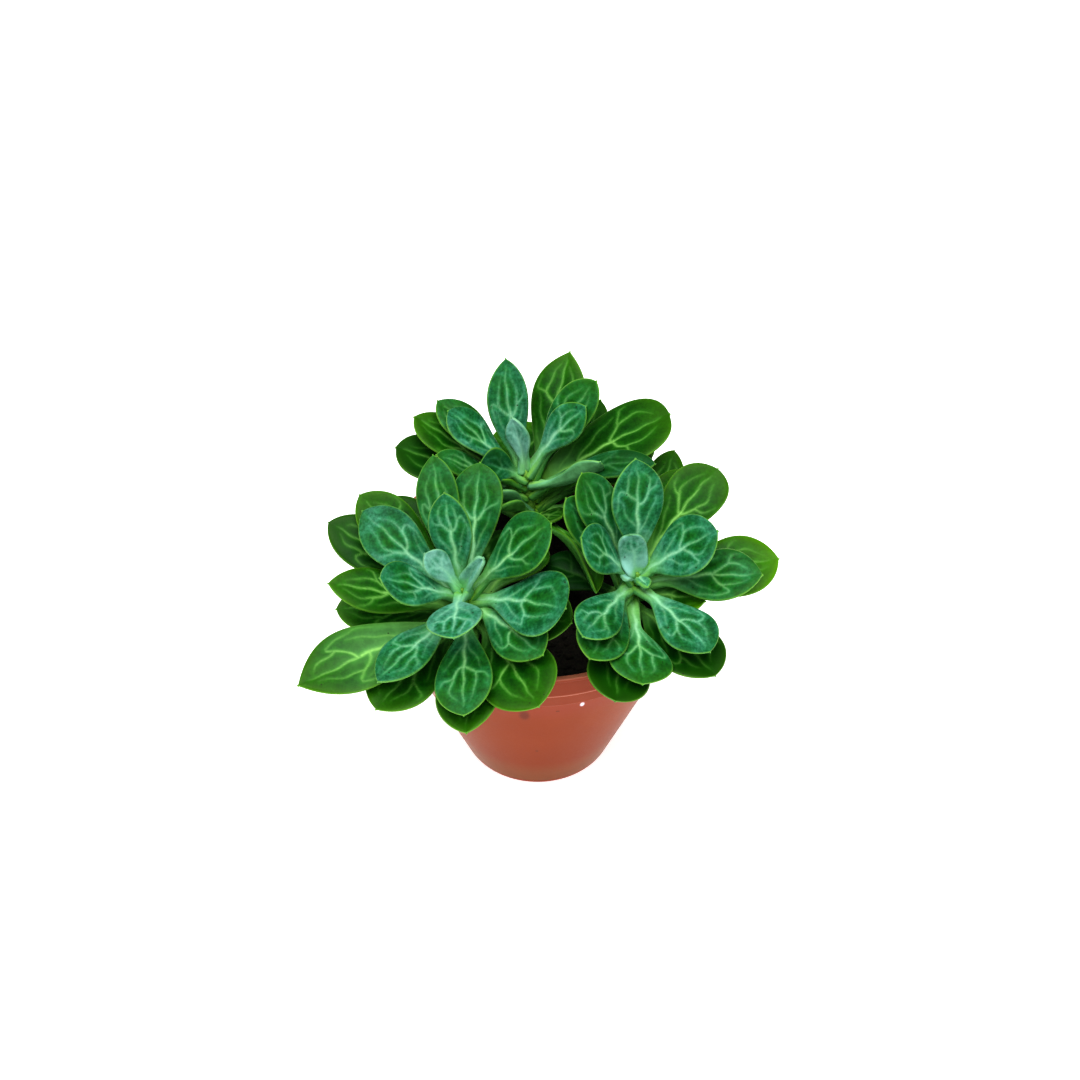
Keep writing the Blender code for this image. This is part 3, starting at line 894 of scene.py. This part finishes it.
potForm = {
    "rimRadius": 50, "height": 77, "wall": 1.4,
    "slantFactor": 1.02,  # the slanting wall's level thickness, in walls
    "lipHeight": 1.4, "lipRound": 0.4, "collarRadius": 49.3, "collarFoot": 69, "neckRadius": 48.5,
    "stepHeight": 64, "stepRadius": 47.8, "stepRound": 0.5, "baseRadius": 25, "baseRound": 1,
    "floorThickness": 2, "drainRadius": 2.6, "drainCircle": 15, "drainCount": 6,
    "sides": 256,
}
potFinish = {
    "orange": (0.27, 0.05, 0.008), "pink": (0.28, 0.052, 0.02), "neck": (0.31, 0.09, 0.055),
    "collar": (0.27, 0.072, 0.042), "deep": (0.2, 0.025, 0.002), "floorReflection": (0.27, 0.1, 0.035),
    "footRing": (0.33, 0.035, 0.004), "paleEdgeHighlight": (0.62, 0.27, 0.2), "speck": (0.12, 0.03, 0.01),

    # Heights in mm over which one colour passes into the next; the pink upper part is a painted reflection
    "turns": {"pink": (50, 62), "neck": (63.6, 64.2), "collar": (69, 70)},
    # The beige low down is a painted reflection of the floor, strongest at the foot
    "floorReflectionTurn": (3, 26),
    "floorReflectionStrength": 0.7,
    "footTurn": (1.2, 2.8),

    # A pale line of painted highlight along an edge: reach in mm and strength
    "lines": {"collarFoot": (0.7, 0.75), "stepHeight": (0.6, 0.35), "height": (0.8, 0.4)},

    # A soft spot: place and radius in mm, colour; the smudge is a dark mark, the glint a painted highlight
    "smudge": ((-3.8, -44.8, 56.8), 2.2, (0.15, 0.025, 0.008)),
    "glint": ((13.1, -45.1, 61.8), 0.9, (0.95, 0.82, 0.92)),
    "spotScale": (1, 0.45, 0.45),
    "spotCore": 0.35,
    "spotStrength": 0.85,

    "mottle": {"Patch Scale": 35, "Grain Scale": 1500},
    "patchStrength": 0.22,
    "specks": {"Scale": 160, "Size": 0.1, "Share": 0.9},
    "speckStrength": 0.6,
    "roughness": (0.28, 0.32),
    "specular": 0.05,
    "dents": {"scale": 90, "detail": 2, "roughness": 0.5},
    "dentBump": {"strength": 0.03, "distance": 0.3},
}


def roundedProfile(corners, steps):
    # A profile whose inner corners, given as (radius, height, rounding), become short arcs
    found = []
    for place, (x, z, rounding) in enumerate(corners):
        if rounding == 0:
            found.append((x, z))
            continue
        here = Vector((x, z))
        before = Vector(corners[place - 1][:2]) - here
        after = Vector(corners[place + 1][:2]) - here
        start = here + before.normalized() * min(rounding, before.length * 0.45)
        end = here + after.normalized() * min(rounding, after.length * 0.45)
        for step in range(steps + 1):
            share = step / steps
            point = start * (1 - share) ** 2 + here * 2 * share * (1 - share) + end * share ** 2
            found.append((point.x, point.y))
    return found


def turned(name, profile, sides, material):
    # A profile turned about Z, with its points on the axis shared by all sides
    points = []
    rings = []
    for radius, height in profile:
        if radius < 1e-6:
            rings.append([len(points)] * sides)
            points.append((0, 0, height * mm))
            continue
        rings.append([len(points) + side for side in range(sides)])
        for side in range(sides):
            turn = 2 * math.pi * side / sides
            points.append((radius * mm * math.cos(turn), radius * mm * math.sin(turn), height * mm))
    faces = []
    for first, second in zip(rings, rings[1:]):
        for side in range(sides):
            after = (side + 1) % sides
            corners = [first[side], second[side], second[after], first[after]]
            face = [corner for place, corner in enumerate(corners) if corner != corners[place - 1]]
            if len(face) > 2:
                faces.append(tuple(face))
    return meshFrom(name, points, faces, material)


def heightTurn(height, low, high):
    # 0 below the low height and 1 above the high one, both in mm
    return ramp(height, low * mm, high * mm)


def spotMask(place, centre, radius):
    # 1 within a soft spot on the pot's side, taller than it is wide
    tree = place.id_data
    start = tuple(value * mm for value in centre)
    offset = linked(tree, "ShaderNodeVectorMath", {0: place, 1: start}, operation="SUBTRACT")
    inputs = {0: offset.outputs[0], 1: potFinish["spotScale"]}
    offset = linked(tree, "ShaderNodeVectorMath", inputs, operation="MULTIPLY")
    apart = linked(tree, "ShaderNodeVectorMath", {0: offset.outputs[0]}, operation="LENGTH")
    outside = heightTurn(apart.outputs["Value"], radius * potFinish["spotCore"], radius)
    return calc("SUBTRACT", 1, outside)


def highlightBand(height, centre, reach):
    # 1 on a thin level line round the pot, where a pale highlight is painted
    apart = calc("ABSOLUTE", calc("SUBTRACT", height, centre * mm))
    return calc("SUBTRACT", 1, heightTurn(apart, 0, reach))


def makePotMaterial(mottle, specks):
    material, tree, surface = newMaterial("potPlastic")
    colour = potFinish
    place = objectPlace(tree)
    height = linked(tree, "ShaderNodeSeparateXYZ", {"Vector": place}).outputs["Z"]
    spots = placed(tree, mottle, colour["mottle"])
    base = colour["orange"]
    # Colours by height, of which the pink upper part is a painted reflection
    for name, span in colour["turns"].items():
        base = mix(heightTurn(height, *span), base, colour[name])
    base = overlay(base, colour["deep"], spots["Patches"], colour["patchStrength"])
    # A beige painted reflection of the floor, strongest at the foot and fading out upwards
    floorReflection = calc("SUBTRACT", colour["floorReflectionStrength"], heightTurn(height, *colour["floorReflectionTurn"]))
    base = mix(floorReflection, base, colour["floorReflection"])
    foot = calc("SUBTRACT", 1, heightTurn(height, *colour["footTurn"]))
    base = mix(foot, base, colour["footRing"])
    # Pale lines of painted highlight along the rim's top, the collar's foot and the step
    for name, (reach, strength) in colour["lines"].items():
        band = highlightBand(height, potForm[name], reach)
        base = overlay(base, colour["paleEdgeHighlight"], band, strength)
    # A dark smudge, and a glint that is a painted highlight
    for name in ("smudge", "glint"):
        centre, radius, paint = colour[name]
        base = overlay(base, paint, spotMask(place, centre, radius), colour["spotStrength"])
    dots = placed(tree, specks, colour["specks"])["Specks"]
    base = overlay(base, colour["speck"], dots, colour["speckStrength"])
    tree.links.new(base, surface.inputs["Base Color"])
    rough = between(spots["Grain"], *colour["roughness"])
    tree.links.new(rough, surface.inputs["Roughness"])
    surface.inputs["Specular IOR Level"].default_value = colour["specular"]
    addBump(surface, noise(tree, **colour["dents"]), **colour["dentBump"])
    return material


def drainCutters():
    # Upright rods through the pot's floor, in a collection of their own
    form = potForm
    radius = form["drainRadius"] * mm
    circle = form["drainCircle"] * mm
    cutters = bpy.data.collections.new("drains")
    bpy.context.scene.collection.children.link(cutters)
    for place in range(form["drainCount"]):
        turn = math.tau * (place + 0.5) / form["drainCount"]
        bm = bmesh.new()
        bmesh.ops.create_cone(bm, cap_ends=True, segments=32, radius1=radius,
                              radius2=radius, depth=3 * form["floorThickness"] * mm)
        mesh = bpy.data.meshes.new("drain")
        bm.to_mesh(mesh)
        bm.free()
        drain = bpy.data.objects.new("drain", mesh)
        drain.location = (circle * math.cos(turn), circle * math.sin(turn), form["floorThickness"] * mm / 2)
        cutters.objects.link(drain)
    return cutters


def makePot(material):
    form = potForm
    inset = form["wall"] * form["slantFactor"]
    rim, top, lip = form["rimRadius"], form["height"], form["lipRound"]
    collar, collarFoot, neck = form["collarRadius"], form["collarFoot"], form["neckRadius"]
    step, stepTop, stepRound = form["stepRadius"], form["stepHeight"], form["stepRound"]
    base, baseRound, floor = form["baseRadius"], form["baseRound"], form["floorThickness"]
    corners = [
        # radius, height, rounding: up the inside, over the lip and down the outside
        (0, floor, 0),
        (base - inset, floor, 0.8),
        (step - inset, stepTop, 0.5),
        (neck - inset, collarFoot, 0.6),
        (rim - form["wall"] - lip, top - lip, 0.2),
        (rim - form["wall"], top, 0.35),
        (rim, top, lip),
        (rim, top - form["lipHeight"], 0.35),
        (collar, top - form["lipHeight"] - lip, 0.25),
        (collar, collarFoot, 0.25),
        (neck, collarFoot - stepRound, 0.25),
        (neck, stepTop + stepRound, 0.25),
        (step, stepTop, 0.4),
        (base, baseRound, 0.6),
        (base - baseRound, 0, 0.3),
        (0, 0, 0),
    ]
    pot = turned("potShell", roundedProfile(corners, 5), form["sides"], material)
    cutters = drainCutters()
    cut = pot.modifiers.new("Drains", "BOOLEAN")
    cut.operation = "DIFFERENCE"
    cut.operand_type = "COLLECTION"
    cut.collection = cutters
    bpy.context.view_layer.update()
    mesh = bpy.data.meshes.new_from_object(pot.evaluated_get(bpy.context.evaluated_depsgraph_get()))
    pot.modifiers.clear()
    pot.data = mesh
    for drain in list(cutters.objects):
        bpy.data.objects.remove(drain)
    bpy.data.collections.remove(cutters)
    mesh.shade_smooth()
    mesh.set_sharp_from_angle(angle=math.radians(40))
    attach(pot, "root")
    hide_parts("pot")


# Soil

soilForm = {
    "top": 68, "crown": 2, "crownReach": 46.3, "inset": 0.4, "floorGap": 0.3, "bump": 0.7,
    "wave": 5.5, "lump": 0.3, "smallLump": 0.16, "edgeCalm": 0.6, "rings": 90, "sides": 240,
}
crumbForm = {
    "count": 1100, "size": (0.35, 1.3), "fromEdge": 1.5, "raise": 0.25, "breadth": (0.7, 1.2),
    "tallness": (0.5, 0.85), "lumpRate": (-3, 3), "lump": 0.13, "seed": 4,
}
soilFinish = {
    "deep": (0.006, 0.005, 0.004),
    "pale": (0.022, 0.015, 0.01),
    "fleck": (0.05, 0.035, 0.022),
    "fleckStrength": 0.3,
    "roughness": 0.85,
    "mottle": {"Patch Scale": 500, "Grain Scale": 2500},
    "bump": {"strength": 0.7, "distance": 0.4},
}


def soilHeight(x, y):
    # Long swells, lumps and small lumps over a low crown, all calmer towards the pot's wall
    form = soilForm
    reach = np.hypot(x, y) / form["crownReach"]
    rise = form["bump"] * np.sin(x / form["wave"]) * np.cos(y / form["wave"])
    lump = form["lump"] * np.sin(x * 1.9 + np.sin(y * 1.3) * 2) * np.sin(y * 2.2 + np.sin(x * 1.1) * 2)
    small = form["smallLump"] * np.sin(x * 5.1 + y * 3.7 + np.sin(y * 4.0)) * np.sin(y * 6.3 - x * 2.9)
    calm = 1 - form["edgeCalm"] * reach ** 6
    return form["top"] - form["crown"] * reach ** 2 + (rise + lump + small) * calm


def makeSoilBed(material):
    # The bed fills the pot to a rough top; returns the radius of that top
    form = soilForm
    pot = potForm
    inset = pot["wall"] * pot["slantFactor"] + form["inset"]
    slope = (pot["neckRadius"] - pot["stepRadius"]) / (pot["collarFoot"] - pot["stepHeight"])
    edge = form["top"] - form["crown"]
    topRadius = pot["stepRadius"] - inset + (edge - pot["stepHeight"]) * slope
    bottom = pot["floorThickness"] + form["floorGap"]
    under = [(0, bottom), (pot["baseRadius"] - inset, bottom)]
    under.append((pot["stepRadius"] - inset, pot["stepHeight"]))
    over = [(topRadius * share, 0) for share in np.linspace(0, 1, form["rings"])[::-1]]
    bed = turned("soilBed", under + over, form["sides"], material)
    for vertex in bed.data.vertices:
        x, y, z = vertex.co / mm
        if z == 0:
            vertex.co.z = float(soilHeight(x, y)) * mm
    bed.data.update()
    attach(bed, "root")
    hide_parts("soil")
    return topRadius


def makeCrumbs(topRadius, material):
    # Loose crumbs, each a small lumpy stone sunk a third into the bed
    form = crumbForm
    draw = random.Random(form["seed"])
    ball = bmesh.new()
    bmesh.ops.create_icosphere(ball, subdivisions=2, radius=1)
    corners = np.array([vertex.co for vertex in ball.verts])
    sides = [tuple(vertex.index for vertex in face.verts) for face in ball.faces]
    ball.free()
    small, large = form["size"]
    points = []
    faces = []
    for _ in range(form["count"]):
        radius = (topRadius - form["fromEdge"]) * math.sqrt(draw.random())
        turn = draw.uniform(0, math.tau)
        x, y = radius * math.cos(turn), radius * math.sin(turn)
        size = small + (large - small) * draw.random() ** 3
        stretch = np.array([draw.uniform(*form[span]) for span in ("breadth", "breadth", "tallness")])
        waves = np.array([[draw.uniform(*form["lumpRate"]) for _ in range(3)] for _ in range(3)])
        lumps = 1 + form["lump"] * np.sin(corners @ waves.T + anyPhase(draw)).sum(1)
        place = np.array([x, y, float(soilHeight(x, y)) + size * form["raise"]])
        start = len(points)
        points += list(place + corners * lumps[:, None] * stretch * size)
        faces += [tuple(start + corner for corner in side) for side in sides]
    crumbs = meshFrom("soilCrumbs", np.array(points) * mm, faces, material)
    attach(crumbs, "root")
    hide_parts("soil")


makeCamera()
makeStudio()
print("camera and studio ready")
mottleGroup = makeMottleGroup()
speckGroup = makeSpeckGroup()
leafSkin = makeLeafMaterial(mottleGroup, speckGroup)
stemSkin = makeGrainyMaterial("stemSkin", mottleGroup, stemFinish)
makePot(makePotMaterial(mottleGroup, speckGroup))
print("pot made")
peat = makeGrainyMaterial("peat", mottleGroup, soilFinish)
makeCrumbs(makeSoilBed(peat), peat)
print("soil made")
for side, stem in stems.items():
    makeStem("stem_" + side, stem, side, stemSkin)
    faceCount = 0
    for place, shape in enumerate(stem["leaves"]):
        faceCount += makeLeaf(f"leaf_{side}_{place + 1:02d}", stem, side, shape, place, leafSkin)
    print(side, "stem made, leaf faces", faceCount)
